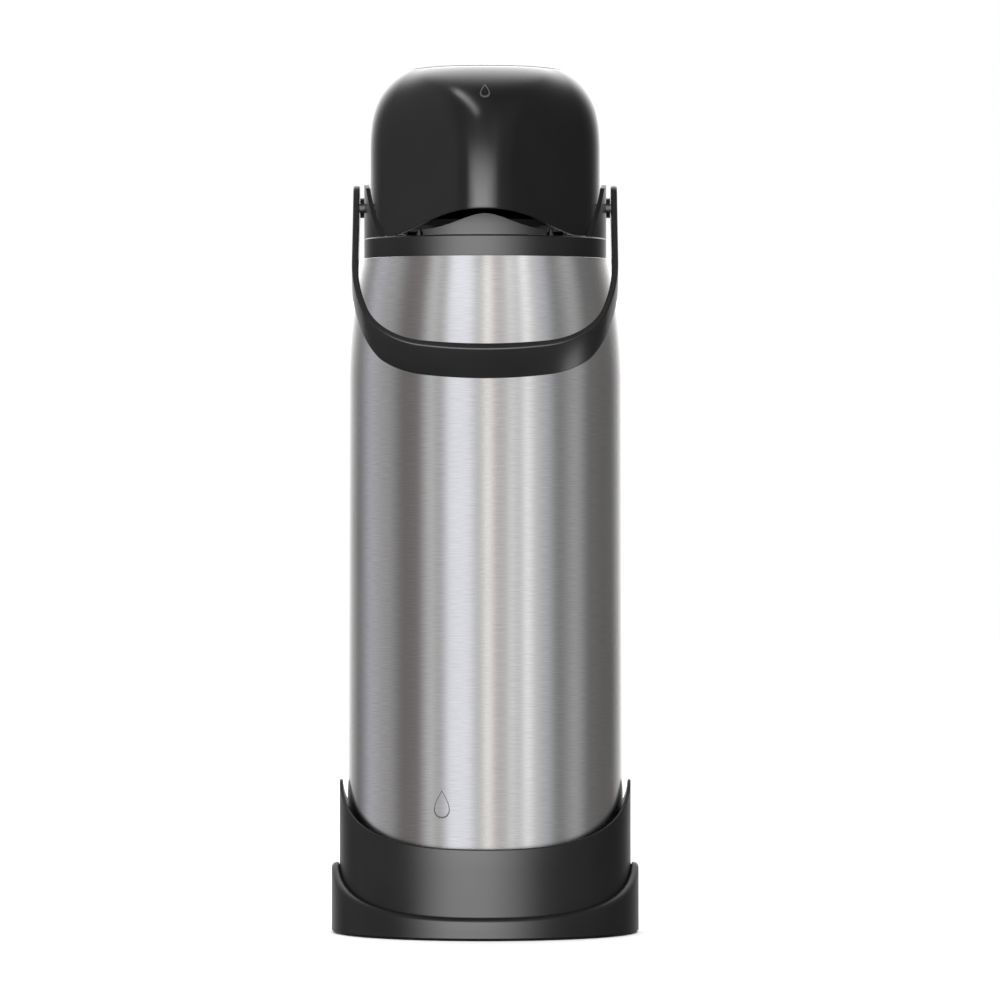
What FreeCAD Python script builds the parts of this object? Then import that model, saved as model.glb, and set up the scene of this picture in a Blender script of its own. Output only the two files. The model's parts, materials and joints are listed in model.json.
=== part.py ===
"""Thermal pump airpot of about 1.8 litres, modelled as its separate pieces.

Millimetres, +Z up, origin on the floor under the bottle's axis.
The spout points to -Y and the head's hinge is at +Y.
"""
import FreeCAD, Part
import math
import os

V = FreeCAD.Vector
X_AXIS = V(1, 0, 0)
Y_AXIS = V(0, 1, 0)
Z_AXIS = V(0, 0, 1)

# Driving dimensions
SKIRT_R = 67.5
CUP_R = 64.0
BODY_R = 60.5
COLLAR_R = 53.2
HEAD_R = 50.4
BUTTON_R = 31.0

FOOT_TOP = 1.5
PAD_OUT = 58.0
PAD_IN = 48.0
PAD_HEIGHT = 0.8
FOOT_R = 62.5
SKIRT_BOTTOM = 0.4
CUP_BOTTOM = 4.05
CUP_FRONT = 39.3
CUP_SIDE = 68.0
CUP_CURVE = 2.65
SKIRT_FRONT = 10.0
SKIRT_SIDE = 31.5
SKIRT_CURVE = 2.7
SHOULDER_Z = 242.0
SHOULDER_ARC_R = 258.0
SHELL_TOP = 295.5
COLLAR_TOP = 304.5
HEAD_BOTTOM = 304.9
HEAD_TOP = 378.6
BUTTON_TOP = 380.6

STEEL = 0.8
GLASS = 1.8
MOULDED = 2.2
RUNNING = 0.05

LINER_R = 53.0
LINER_BOTTOM = 20.0
LINER_LIP = 290.0
VACUUM_GAP = 3.2
NECK_R = 24.5
MOUTH_R = 20.5

TUBE_R = 4.0
TUBE_BORE = 2.8
TUBE_BOTTOM = 34.0

PIVOT_Z = 318.2
HANDLE_LEAN = 45.0
HANDLE_WIDTH = 18.0
ARM_IN = 55.1
ARM_OUT = 57.9
ARM_END = 44.0
GRIP_IN = 95.0
GRIP_OUT = 99.0
EYE_R = 9.8
PIN_R = 2.2

HINGE_Y = 57.2
HINGE_Z = 303.2
KNUCKLE_R = 3.6

NOSE_R = 15.0
NOSE_REACH = 30.6
NOSE_SPREAD = 5.0
ARCH_RISE = 9.8
ROOF_HEIGHT = 43.5
ROOF_START = 340.0
ROOF_POWER = 3.0

BELLOWS_R = 30.0
BELLOWS_BOTTOM = 324.5
BELLOWS_TOP = 354.5
FOLDS = 6


def turned(points):
    """A solid of revolution about Z from a closed outline of (radius, height) points."""
    corners = [V(r, 0, z) for r, z in points]
    outline = Part.makePolygon(corners + corners[:1])
    return Part.Face(outline).revolve(V(0, 0, 0), Z_AXIS, 360)


def turned_edges(edges):
    """A solid of revolution about Z from edges that close an outline in the XZ plane."""
    outline = Part.Wire(Part.__sortEdges__(edges))
    return Part.Face(outline).revolve(V(0, 0, 0), Z_AXIS, 360)


def line(a, b):
    """A straight edge between two (radius, height) points in the XZ plane."""
    return Part.LineSegment(V(a[0], 0, a[1]), V(b[0], 0, b[1])).toShape()


def arc(a, mid, b):
    """An arc through three (radius, height) points in the XZ plane."""
    return Part.Arc(V(a[0], 0, a[1]), V(mid[0], 0, mid[1]), V(b[0], 0, b[1])).toShape()


def ring(r_out, r_in, bottom, top, x=0.0, y=0.0):
    """A flat ring or short tube standing on Z."""
    outer = Part.makeCylinder(r_out, top - bottom, V(x, y, bottom))
    return outer.cut(Part.makeCylinder(r_in, top - bottom, V(x, y, bottom)))


def disc(r, bottom, top, x=0.0, y=0.0):
    """A plain cylinder standing on Z."""
    return Part.makeCylinder(r, top - bottom, V(x, y, bottom))


def block(x0, x1, y0, y1, z0, z1):
    """A box between two corners."""
    return Part.makeBox(x1 - x0, y1 - y0, z1 - z0, V(x0, y0, z0))


def fused(solids):
    """One clean solid from several that overlap or touch."""
    return solids[0].multiFuse(solids[1:]).removeSplitter()


def mirrored(shape):
    """The same shape on the other side of the YZ plane."""
    return shape.mirror(V(0, 0, 0), X_AXIS)


def save(name, solids):
    """Write one node, made of one solid or a group of identical ones."""
    shape = solids[0] if len(solids) == 1 else Part.makeCompound(solids)
    shape.exportStep(os.path.join("parts", name + ".step"))


# Base and swivel foot

def saddle_cutter(radius, low, high, power):
    """Everything above a rim that is low at front and back and peaks at both sides."""
    steps = 8
    rim = []
    for i in range(-steps, steps + 1):
        turn = i / steps
        rim.append(V(radius * math.sin(turn * math.pi / 2), 0, low + (high - low) * abs(turn) ** power))
    curve = Part.BSplineCurve()
    curve.interpolate(rim)
    ceiling = high + 20
    wide = radius + 10
    corners = [
        rim[-1], V(wide, 0, high), V(wide, 0, ceiling),
        V(-wide, 0, ceiling), V(-wide, 0, high), rim[0]]
    outline = Part.Wire([curve.toShape()] + Part.makePolygon(corners).Edges)
    return Part.Face(outline).extrude(V(0, 2 * wide, 0)).translated(V(0, -wide, 0))


def base_skirt():
    """The wide lower band of the base, low at the front and high at the sides."""
    top = SKIRT_SIDE + 5
    bevel = 0.8
    band = turned([
        (CUP_R, SKIRT_BOTTOM), (SKIRT_R - bevel, SKIRT_BOTTOM), (SKIRT_R, SKIRT_BOTTOM + bevel),
        (SKIRT_R, top), (CUP_R, top)])
    return band.cut(saddle_cutter(SKIRT_R, SKIRT_FRONT, SKIRT_SIDE, SKIRT_CURVE))


def base_cup():
    """The cup that the steel body stands in, with a scooped rim and a raised centre."""
    floor = CUP_BOTTOM + 2.0
    ledge = 22.0
    gap_r = BODY_R + 2.0
    seat_r = BODY_R + 0.1
    high = CUP_SIDE
    cup = turned([
        (PIN_R + 0.8 + RUNNING, 7.05), (18.0, 7.05), (18.0, CUP_BOTTOM), (CUP_R, CUP_BOTTOM),
        (CUP_R, high + 2), (gap_r, high + 2), (gap_r, ledge + 2), (seat_r, ledge),
        (seat_r, floor), (20.0, floor), (20.0, 9.0), (PIN_R + 0.8 + RUNNING, 9.0)])
    return cup.cut(saddle_cutter(CUP_R, CUP_FRONT, CUP_SIDE, CUP_CURVE))


def swivel_foot():
    """The round plate that stays on the table while the bottle turns on it."""
    plate = turned([
        (0, 0), (FOOT_R - 0.6, 0), (FOOT_R, 0.6), (FOOT_R, FOOT_TOP),
        (15.0, FOOT_TOP), (15.0, 6.75), (0, 6.75)])
    groove = ring(PAD_OUT, PAD_IN, 0, PAD_HEIGHT)
    screw_hole = disc(PIN_R + 0.8, 2.0, 7.0)
    return plate.cut(groove).cut(screw_hole)


def foot_pivot_screw():
    """The screw that the bottle turns on, held in the foot."""
    return fused([disc(PIN_R + 0.8, 2.0, 10.0), disc(6.5, 10.0, 12.6)])


# Body shell and vacuum liner

def shoulder_r(z, inset):
    """Radius of the steel body, drawn in by one tangent arc over the shoulder."""
    rise = max(0.0, z - SHOULDER_Z)
    radius = SHOULDER_ARC_R - inset
    return BODY_R - inset - (radius - math.sqrt(radius ** 2 - rise ** 2))


def outer_shell():
    """The brushed steel body, turned inwards at the top to a lip under the collar."""
    bottom = CUP_BOTTOM + 2.0
    lip_r = 49.6
    roll = 1.0
    arc_end = SHELL_TOP - roll
    middle = (SHOULDER_Z + arc_end) / 2

    def side(inset):
        corner = roll - inset
        top_r = shoulder_r(arc_end, inset)
        bend = corner * (1 - math.cos(math.pi / 4))
        return [
            line((BODY_R - inset, bottom), (BODY_R - inset, SHOULDER_Z)),
            arc((BODY_R - inset, SHOULDER_Z), (shoulder_r(middle, inset), middle), (top_r, arc_end)),
            arc((top_r, arc_end), (top_r - bend, arc_end + corner - bend),
                (top_r - corner, arc_end + corner)),
            line((top_r - corner, arc_end + corner), (lip_r, arc_end + corner))]

    ends = [
        line((BODY_R, bottom), (BODY_R - STEEL, bottom)),
        line((lip_r, SHELL_TOP), (lip_r, SHELL_TOP - STEEL))]
    return turned_edges(side(0.0) + side(STEEL) + ends)


def flask(r, bottom, shoulder, neck_r, lip, wall):
    """A round-bottomed glass flask with a narrow neck."""

    def side(inset):
        belly = r - inset
        base = bottom + inset
        neck = neck_r - inset
        waist = shoulder + 31.0 - inset
        middle = (belly + neck) / 2
        drop = belly - middle
        return [
            arc((0, base), (belly * 0.7071, base + 12.0), (belly, base + 42.0)),
            line((belly, base + 42.0), (belly, shoulder)),
            arc((belly, shoulder), (belly - drop * 0.36, shoulder + (waist - shoulder) * 0.72),
                (middle, waist)),
            arc((middle, waist), (neck + drop * 0.3, waist + 2.6), (neck, waist + 9.0)),
            line((neck, waist + 9.0), (neck, lip))]

    ends = [
        line((0, bottom), (0, bottom + wall)),
        line((neck_r, lip), (neck_r - wall, lip))]
    return turned_edges(side(0.0) + side(wall) + ends)


def liner_outer_glass():
    """Outer wall of the vacuum liner, with the sealed tip under its bottom."""
    tip = Part.makeCone(1.2, 3.2, 6.0, V(0, 0, LINER_BOTTOM - 5.4))
    return fused([flask(LINER_R, LINER_BOTTOM, 235.0, NECK_R, LINER_LIP, GLASS), tip])


def liner_inner_glass():
    """Inner wall of the vacuum liner, whose lip closes the vacuum gap."""
    inset = GLASS + VACUUM_GAP
    neck_r = NECK_R - GLASS - 1.3
    wall = flask(LINER_R - inset, LINER_BOTTOM + inset, 230.0, neck_r, LINER_LIP, GLASS)
    lip = ring(NECK_R, neck_r - GLASS, LINER_LIP, LINER_LIP + 2.0)
    return fused([wall, lip])


def liner_seat():
    """The rubber cushion under the liner."""
    cushion = ring(40.0, 21.0, CUP_BOTTOM + 4.0, 34.0)
    belly = flask(LINER_R + 0.1, LINER_BOTTOM - 0.1, 235.0, NECK_R, LINER_LIP, 60.0 - LINER_R)
    hollow = Part.makeSphere(70.0, V(0, 0, LINER_BOTTOM + 69.8))
    return cushion.cut(hollow).cut(belly)


# Collar, lugs and dip tube

def collar_ring():
    """The black ring that clamps the neck, with the two rear hinge knuckles."""
    collar = turned([
        (MOUTH_R, 294.0), (26.0, 294.0), (26.0, 300.0), (46.0, 300.0), (46.0, 291.0), (49.5, 291.0),
        (49.5, SHELL_TOP), (COLLAR_R, SHELL_TOP), (COLLAR_R, COLLAR_TOP - 0.5),
        (COLLAR_R - 0.5, COLLAR_TOP), (MOUTH_R, COLLAR_TOP)])
    slots = ring(52.4, 51.3, 300.5, COLLAR_TOP).common(block(-60, 60, -20, 20, 300, 305))
    collar = collar.cut(slots)
    pieces = [collar]
    for x0 in (-16.0, 8.0):
        knuckle = Part.makeCylinder(KNUCKLE_R, 8.0, V(x0, HINGE_Y, HINGE_Z), X_AXIS)
        pieces.append(knuckle.fuse(block(x0, x0 + 8.0, 50.5, HINGE_Y, HINGE_Z - KNUCKLE_R, HINGE_Z)))
    bore = Part.makeCylinder(1.5, 40.0, V(-20, HINGE_Y, HINGE_Z), X_AXIS)
    return fused(pieces).cut(bore)


def handle_lug():
    """The right-hand ear that carries the handle, with its round boss and a tenon."""
    top = 328.0
    outline = Part.makePolygon([
        V(0, -27, COLLAR_TOP), V(0, 27, COLLAR_TOP), V(0, 14, 321.5), V(0, 10, 326.5), V(0, 5.5, top),
        V(0, -5.5, top), V(0, -10, 326.5), V(0, -14, 321.5), V(0, -27, COLLAR_TOP)])
    prism = Part.Face(outline).extrude(V(60, 0, 0))
    ear = ring(COLLAR_R, 51.4, COLLAR_TOP, top).common(prism)
    tenon = ring(52.4, 51.4, 300.5, COLLAR_TOP).common(block(0, 60, -19.9, 19.9, 300, 305))
    boss = Part.makeCylinder(4.4, 3.0, V(51.9, 0, PIVOT_Z), X_AXIS)
    inside = disc(51.4, 300, 330)
    bore = Part.makeCylinder(PIN_R, 10.0, V(48, 0, PIVOT_Z), X_AXIS)
    return fused([ear, tenon, boss]).cut(inside).cut(bore)


def guide_posts():
    """Small tapered posts beside the catch, two tall and two short."""
    posts = []
    for x in (-28.5, 28.5):
        posts.append(Part.makeCone(1.3, 0.6, 3.3, V(x, -43.4, COLLAR_TOP)))
    for x in (-34.5, 34.5):
        posts.append(Part.makeCone(1.3, 0.8, 0.6, V(x, -38.4, COLLAR_TOP)))
    return posts


def tube_flange():
    """The spoked plate that hangs the dip tube in the mouth and lets air past it."""
    rim = turned([
        (17.5, 300.5), (19.0, 300.5), (19.0, COLLAR_TOP), (24.0, COLLAR_TOP), (24.0, 306.5), (17.5, 306.5)])
    pieces = [rim, disc(6.5, 301.5, 306.5)]
    for k in range(3):
        spoke = block(5.0, 18.0, -1.5, 1.5, 301.5, 306.5)
        spoke.rotate(V(0, 0, 0), Z_AXIS, 90 + 120 * k)
        pieces.append(spoke)
    return fused(pieces).cut(disc(TUBE_R, 300, 307))


def dip_tube():
    """The straight tube down to just above the liner's bottom, cut at a slant there."""
    tube = ring(TUBE_R, TUBE_BORE, TUBE_BOTTOM, 306.5)
    wedge = block(-10, 10, -10, 10, -12, 0)
    wedge.rotate(V(0, 0, 0), Y_AXIS, 30)
    return tube.cut(wedge.translated(V(0, 0, TUBE_BOTTOM + 2.5)))


# Handle

def handle_bail():
    """The U-shaped strap, made flat in its own plane and then leaned against the body."""
    def rail(arm_x, knee, waist, corner, shoulder, grip):
        edges = [arc((-shoulder[0], -shoulder[1]), (0, -grip), (shoulder[0], -shoulder[1]))]
        for side in (-1, 1):
            edges.append(line((side * arm_x, 0), (side * arm_x, -ARM_END)))
            edges.append(arc(
                (side * arm_x, -ARM_END), (side * knee[0], -knee[1]), (side * waist[0], -waist[1])))
            edges.append(arc(
                (side * waist[0], -waist[1]), (side * corner[0], -corner[1]),
                (side * shoulder[0], -shoulder[1])))
        return edges

    edges = rail(ARM_OUT, (56.7, 59.1), (53.2, 74.0), (43.9, 88.5), (28.6, 96.4), GRIP_OUT)
    edges += rail(ARM_IN, (54.0, 58.7), (50.6, 73.2), (41.9, 86.2), (28.0, 92.9), GRIP_IN)
    for side in (-1, 1):
        edges.append(line((side * ARM_OUT, 0), (side * ARM_IN, 0)))
    outline = Part.Wire(Part.__sortEdges__(edges))
    strap = Part.Face(outline).extrude(V(0, HANDLE_WIDTH, 0)).translated(V(0, -HANDLE_WIDTH / 2, 0))
    eyes = [Part.makeCylinder(EYE_R, ARM_OUT - ARM_IN, V(x, 0, 0), X_AXIS) for x in (ARM_IN, -ARM_OUT)]
    bail = fused([strap] + eyes)
    bore = Part.makeCylinder(PIN_R + RUNNING, 140, V(-70, 0, 0), X_AXIS)
    bail = bail.cut(bore)
    bail.rotate(V(0, 0, 0), X_AXIS, -HANDLE_LEAN)
    return bail.translated(V(0, 0, PIVOT_Z))


# Head

def head_section(z, inset):
    """Plan outline of the head at one height: a round back drawn out to a small nose."""
    roof = max(0.0, z - ROOF_START) / ROOF_HEIGHT
    r = HEAD_R * (1 - roof ** ROOF_POWER) ** (1 / ROOF_POWER)
    climb = (z - HEAD_BOTTOM) / (HEAD_TOP - HEAD_BOTTOM)
    reach = 2.0 + (NOSE_REACH - 2.0) * (1 - climb ** 2.4) ** (1 / 1.6)
    nose_r = NOSE_R + (r - 4.0 - NOSE_R) * climb ** NOSE_SPREAD
    nose_y = -(r + reach) + nose_r
    r = r - inset
    nose_r = nose_r - inset
    lean = math.asin((r - nose_r) / -nose_y)
    nx, ny = math.cos(lean), math.sin(lean)
    back = (V(r * nx, -r * ny, z), V(-r * nx, -r * ny, z))
    front = (V(nose_r * nx, nose_y - nose_r * ny, z), V(-nose_r * nx, nose_y - nose_r * ny, z))
    return Part.Wire([
        Part.Arc(back[0], V(0, r, z), back[1]).toShape(),
        Part.LineSegment(back[1], front[1]).toShape(),
        Part.Arc(front[1], V(0, nose_y - nose_r, z), front[0]).toShape(),
        Part.LineSegment(front[0], back[0]).toShape()])


def head_loft(inset, top):
    """The head's outer form, or the same form drawn in by a wall's thickness."""
    levels = 9
    heights = []
    for i in range(levels):
        share = math.sin(math.pi / 2 * i / (levels - 1))
        heights.append(HEAD_BOTTOM + (top - HEAD_BOTTOM) * share)
    return Part.makeLoft([head_section(z, inset) for z in heights], True, False)


def arch_cutter():
    """The opening under the nose, through which the stream falls into a cup."""
    half = 40.0
    floor = HEAD_BOTTOM - 15
    rise = []
    for i in range(-8, 9):
        share = abs(i) / 8
        rise.append(V(half * i / 8, 0, HEAD_BOTTOM + ARCH_RISE * (1 - share ** 2.4) ** 1.7))
    curve = Part.BSplineCurve()
    curve.interpolate(rise)
    low = Part.makePolygon([rise[-1], V(half, 0, floor), V(-half, 0, floor), rise[0]])
    outline = Part.Wire([curve.toShape()] + low.Edges)
    return Part.Face(outline).extrude(V(0, -95, 0)).translated(V(0, -5, 0))


def head_cover():
    """The glossy head shell with its nose, screw bosses and hinge tab."""
    shell = head_loft(0.0, HEAD_TOP)
    hollow = head_loft(MOULDED, HEAD_TOP - 1.4)
    floor = head_section(HEAD_BOTTOM, MOULDED)
    hollow = hollow.fuse(Part.Face(floor).extrude(V(0, 0, -5)))
    shell = shell.cut(hollow)
    shell = shell.cut(disc(BUTTON_R + 2.3, 365, 385))
    pieces = [shell]
    for x, y in screw_places():
        pieces.append(disc(3.5, 311.5, 338, x, y))
    pieces.append(block(-7.7, 7.7, 49.0, HINGE_Y, HEAD_BOTTOM, HINGE_Z + KNUCKLE_R))
    pieces.append(Part.makeCylinder(KNUCKLE_R, 15.4, V(-7.7, HINGE_Y, HINGE_Z), X_AXIS))
    cover = fused(pieces).cut(arch_cutter())
    for x, y in screw_places():
        cover = cover.cut(disc(1.2, 311, 322, x, y))
    bore = Part.makeCylinder(1.5 + RUNNING, 40.0, V(-20, HINGE_Y, HINGE_Z), X_AXIS)
    return cover.cut(bore)


def screw_places():
    """Where the four head screws stand."""
    places = []
    for turn in (35, 145, 200, 340):
        places.append((45.0 * math.cos(math.radians(turn)), 45.0 * math.sin(math.radians(turn))))
    return places


def head_base():
    """The plate that closes the head and carries its seals."""
    plate = disc(47.7, 309.0, 311.5)
    plate = plate.cut(disc(4.2, 308, 312))
    plate = plate.cut(disc(3.8, 308, 312, 0, 14.5))
    for x, y in screw_places():
        plate = plate.cut(disc(1.2, 308, 312, x, y))
    return plate


def head_screws():
    """The four screws that hold the head's base to its cover."""
    screws = []
    for x, y in screw_places():
        screws.append(fused([disc(1.2, 308.5, 321.0, x, y), disc(2.4, 307.3, 309.0, x, y)]))
    return screws


def pipe_run(r):
    """The outlet's route as one thick line: up, forward under the bellows, and over the nose."""
    route = [
        V(0, 0, 309), V(0, 0, 316.4), V(0, -34, 316.4),
        V(0, -50, 323.5), V(0, -66, 323.5), V(0, -66, 318.5)]
    runs = []
    for a, b in zip(route, route[1:]):
        runs.append(Part.makeCylinder(r, (b - a).Length, a, b - a))
    for corner in route[1:-1]:
        runs.append(Part.makeSphere(r, corner))
    return fused(runs)


def outlet_pipe():
    """The tube from the dip tube's seal to the spout."""
    bore = pipe_run(TUBE_BORE)
    ends = [disc(TUBE_BORE, 308, 310), disc(TUBE_BORE, 317, 319, 0, -66)]
    return pipe_run(4.2).cut(bore.multiFuse(ends))


def bellows():
    """The pump's folded rubber bellows."""
    pitch = (BELLOWS_TOP - BELLOWS_BOTTOM - 0.1) / FOLDS
    valley = BELLOWS_R - 5.0
    wall = 1.2
    outer = []
    inner = []
    for k in range(FOLDS):
        z = BELLOWS_BOTTOM + 0.05 + k * pitch
        outer += [(valley, z), (BELLOWS_R, z + pitch / 2)]
        inner += [(valley - wall, z), (BELLOWS_R - wall * 1.6, z + pitch / 2)]
    top = BELLOWS_TOP - 0.05
    outer.append((valley, top))
    inner.append((valley - wall, top))
    return turned(outer + inner[::-1])


def return_spring():
    """The coil spring inside the bellows that lifts the button."""
    coil_r, wire_r, turns = 12.0, 0.8, 6
    bottom = BELLOWS_BOTTOM + wire_r + 0.1
    height = BELLOWS_TOP - BELLOWS_BOTTOM - 2 * wire_r - 0.2
    helix = Part.makeHelix(height / turns, height, coil_r)
    helix.translate(V(0, 0, bottom))
    section = Part.Wire([Part.Circle(V(coil_r, 0, bottom), Y_AXIS, wire_r).toShape()])
    return Part.Wire(helix).makePipeShell([section], True, True)


def push_button():
    """The round button, a shallow crowned cap with a skirt that slides in the bezel."""
    edge = BUTTON_TOP - 1.3
    under = BUTTON_TOP - 3.0
    inner_r = BUTTON_R - 2.0
    return turned_edges([
        arc((0, BUTTON_TOP), (BUTTON_R * 0.48, BUTTON_TOP - 0.3), (BUTTON_R - 1.4, edge)),
        arc((BUTTON_R - 1.4, edge), (BUTTON_R - 0.4, edge - 0.4), (BUTTON_R, edge - 1.4)),
        line((BUTTON_R, edge - 1.4), (BUTTON_R, 360.0)),
        line((BUTTON_R, 360.0), (inner_r, 360.0)),
        line((inner_r, 360.0), (inner_r, under - 1.5)),
        line((inner_r, under - 1.5), (0, under)),
        line((0, under), (0, BUTTON_TOP))])


def button_bezel():
    """The guide ring around the button, flush in the top of the head."""
    bore = BUTTON_R + 0.4
    rim = BUTTON_R + 2.2
    top = HEAD_TOP + 0.2
    return turned([
        (bore, 352.0), (rim, 352.0), (rim, top - 0.7), (rim - 0.7, top),
        (bore + 0.3, top), (bore, top - 0.4)])


# Catch

def catch_plate():
    """The front release, a curved bell-shaped plate with a tongue on the collar."""
    low = COLLAR_TOP + 0.15
    half = 26.8
    rise = []
    for i in range(-6, 7):
        x = half * i / 6
        rise.append(V(x, 0, COLLAR_TOP + 2.0 + 7.2 * math.exp(-(abs(x) / 15.8) ** 1.9)))
    curve = Part.BSplineCurve()
    curve.interpolate(rise)
    foot = Part.makePolygon([rise[-1], V(half, 0, low), V(-half, 0, low), rise[0]])
    outline = Part.Wire([curve.toShape()] + foot.Edges)
    prism = Part.Face(outline).extrude(V(0, -60, 0))
    face = ring(COLLAR_R, COLLAR_R - 2.2, low, COLLAR_TOP + 12).common(prism)
    tongue = block(-9, 9, -51.6, -30, COLLAR_TOP + 0.3, COLLAR_TOP + 2.0)
    return fused([face, tongue])


def main():
    os.makedirs("parts", exist_ok=True)

    save("swivel_foot", [swivel_foot()])
    save("foot_pad", [ring(PAD_OUT, PAD_IN, 0, PAD_HEIGHT)])
    save("foot_bearing", [ring(46.0, 40.0, FOOT_TOP, CUP_BOTTOM - RUNNING)])
    save("foot_pivot_screw", [foot_pivot_screw()])
    save("foot_washer", [ring(9.0, PIN_R + 0.8, 9.05, 10.0)])

    save("base_skirt", [base_skirt()])
    save("base_cup", [base_cup()])
    save("outer_shell", [outer_shell()])
    save("liner_support", [ring(42.0, 21.0, CUP_BOTTOM + 2.0, CUP_BOTTOM + 4.0)])
    save("liner_seat", [liner_seat()])
    save("liner_outer_glass", [liner_outer_glass()])
    save("liner_inner_glass", [liner_inner_glass()])
    save("liner_spacer", [ring(59.6, LINER_R + 0.1, 214.0, 226.0)])
    save("neck_gasket", [ring(NECK_R, MOUTH_R, LINER_LIP + 2.0, 294.0)])
    save("collar_ring", [collar_ring()])
    save("tube_flange", [tube_flange()])
    save("dip_tube", [dip_tube()])

    lug = handle_lug()
    save("handle_lug_right", [lug])
    save("handle_lug_left", [mirrored(lug)])
    pin = Part.makeCylinder(PIN_R, 6.0, V(51.5, 0, PIVOT_Z), X_AXIS)
    save("handle_pins", [pin, mirrored(pin)])
    save("handle_bail", [handle_bail()])
    save("guide_posts", guide_posts())
    save("hinge_pin", [Part.makeCylinder(1.5, 34.0, V(-17, HINGE_Y, HINGE_Z), X_AXIS)])

    save("head_cover", [head_cover()])
    save("head_base", [head_base()])
    save("head_screws", head_screws())
    save("mouth_gasket", [ring(22.5, 19.0, 306.55, 309.0)])
    save("outlet_seal", [ring(6.5, 3.2, 306.55, 309.0)])
    save("outlet_pipe", [outlet_pipe()])
    save("spout_nozzle", [ring(6.0, 4.2, 315.6, 319.3, 0, -66)])
    save("air_duct", [ring(5.0, 3.8, 311.5, 322.0, 0, 14.5)])
    save("bellows_seat", [disc(34.0, 322.0, BELLOWS_BOTTOM).cut(disc(3.8, 321, 326, 0, 14.5))])
    save("bellows", [bellows()])
    save("return_spring", [return_spring()])
    save("button_bezel", [button_bezel()])

    save("push_button", [push_button()])
    save("button_plunger", [ring(12.0, 9.5, 357.0, BUTTON_TOP - 4.0)])
    save("pusher_plate", [ring(28.0, 4.0, BELLOWS_TOP, 357.0)])
    save("inlet_flap", [disc(7.0, 357.0, 358.0)])
    save("catch_plate", [catch_plate()])


main()
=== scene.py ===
"""Looks of the thermal pump airpot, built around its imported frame. Metres, +Z up, spout at -Y."""
import json
import math

import bmesh
import bpy
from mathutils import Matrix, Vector

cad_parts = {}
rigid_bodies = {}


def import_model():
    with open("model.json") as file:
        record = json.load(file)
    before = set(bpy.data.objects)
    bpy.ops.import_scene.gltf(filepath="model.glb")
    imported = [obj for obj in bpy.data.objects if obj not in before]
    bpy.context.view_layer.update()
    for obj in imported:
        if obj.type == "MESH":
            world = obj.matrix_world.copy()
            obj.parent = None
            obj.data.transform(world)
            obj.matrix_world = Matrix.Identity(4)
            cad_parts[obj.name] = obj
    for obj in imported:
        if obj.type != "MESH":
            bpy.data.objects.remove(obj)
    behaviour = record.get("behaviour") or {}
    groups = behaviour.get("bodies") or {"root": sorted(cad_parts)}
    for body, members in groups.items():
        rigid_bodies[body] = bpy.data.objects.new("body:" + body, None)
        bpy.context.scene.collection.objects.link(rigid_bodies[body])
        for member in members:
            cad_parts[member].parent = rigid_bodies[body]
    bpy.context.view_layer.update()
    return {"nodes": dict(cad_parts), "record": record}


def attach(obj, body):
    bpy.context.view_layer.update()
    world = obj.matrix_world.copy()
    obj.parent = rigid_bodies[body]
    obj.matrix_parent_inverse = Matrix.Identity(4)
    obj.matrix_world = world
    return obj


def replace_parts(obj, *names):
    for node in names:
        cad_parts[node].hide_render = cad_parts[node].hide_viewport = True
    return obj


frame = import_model()

MM = 0.001

# Sizes that the mesh pieces share with the frame
BODY_R = 60.5
SHOULDER_Z = 242.0
SHOULDER_ARC_R = 258.0
SHELL_BOTTOM = 6.05
SHELL_TOP = 295.5
STEEL = 0.8
LIP_R = 49.6

CUP_R = 64.0
CUP_BOTTOM = 4.05
CUP_FRONT = 39.3
CUP_SIDE = 68.0
CUP_CURVE = 2.65
SKIRT_R = 67.5
SKIRT_BOTTOM = 0.4
SKIRT_FRONT = 10.0
SKIRT_SIDE = 31.5
SKIRT_CURVE = 2.7
PEAK_SOFT = 0.02

HEAD_R = 50.4
HEAD_BOTTOM = 304.9
HEAD_TOP = 378.6
ROOF_START = 340.0
ROOF_HEIGHT = 43.5
ROOF_POWER = 3.0
NOSE_R = 15.0
NOSE_REACH = 30.6
NOSE_SPREAD = 5.0
ARCH_RISE = 9.8
ARCH_HALF = 40.0
WELL_R = 33.3
WALL = 2.2
HINGE_Y = 57.2
HINGE_Z = 303.2
KNUCKLE_R = 3.6
HINGE_BORE = 1.55

PIVOT_Z = 318.2
LEAN = math.radians(45.0)
HANDLE_WIDTH = 18.0
EYE_R = 9.8
ARM_IN = 55.1
ARM_OUT = 57.9
ARM_END = 44.0
GRIP_IN = 95.0
GRIP_OUT = 99.0
EDGE_R = 0.9
STRAP_TUCK = 0.45
TUCK_START = 44.0
TUCK_RUN = 12.0
PIN_BORE = 2.25

CAMERA_DISTANCE = 3.0
CAMERA_X = 0.0065
CAMERA_Z = 0.1898
VIEW_WIDTH = 0.4398
SENSOR = 36.0


PLASTIC_IOR = 1.29

# Black pieces beside the steel that its brushed reflections leave out
hidden_from_steel = []


# Mesh helpers

def link(name, mesh):
    """A new object of this mesh in the scene."""
    piece = bpy.data.objects.new(name, mesh)
    bpy.context.scene.collection.objects.link(piece)
    return piece


def finish_mesh(bm, name, crease=35.0):
    """Turn a bmesh in millimetres into a smooth-shaded object in metres."""
    bmesh.ops.scale(bm, vec=(MM, MM, MM), verts=bm.verts)
    bmesh.ops.recalc_face_normals(bm, faces=bm.faces)
    mesh = bpy.data.meshes.new(name)
    bm.to_mesh(mesh)
    bm.free()
    mesh.shade_smooth()
    mesh.set_sharp_from_angle(angle=math.radians(crease))
    return link(name, mesh)


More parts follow.
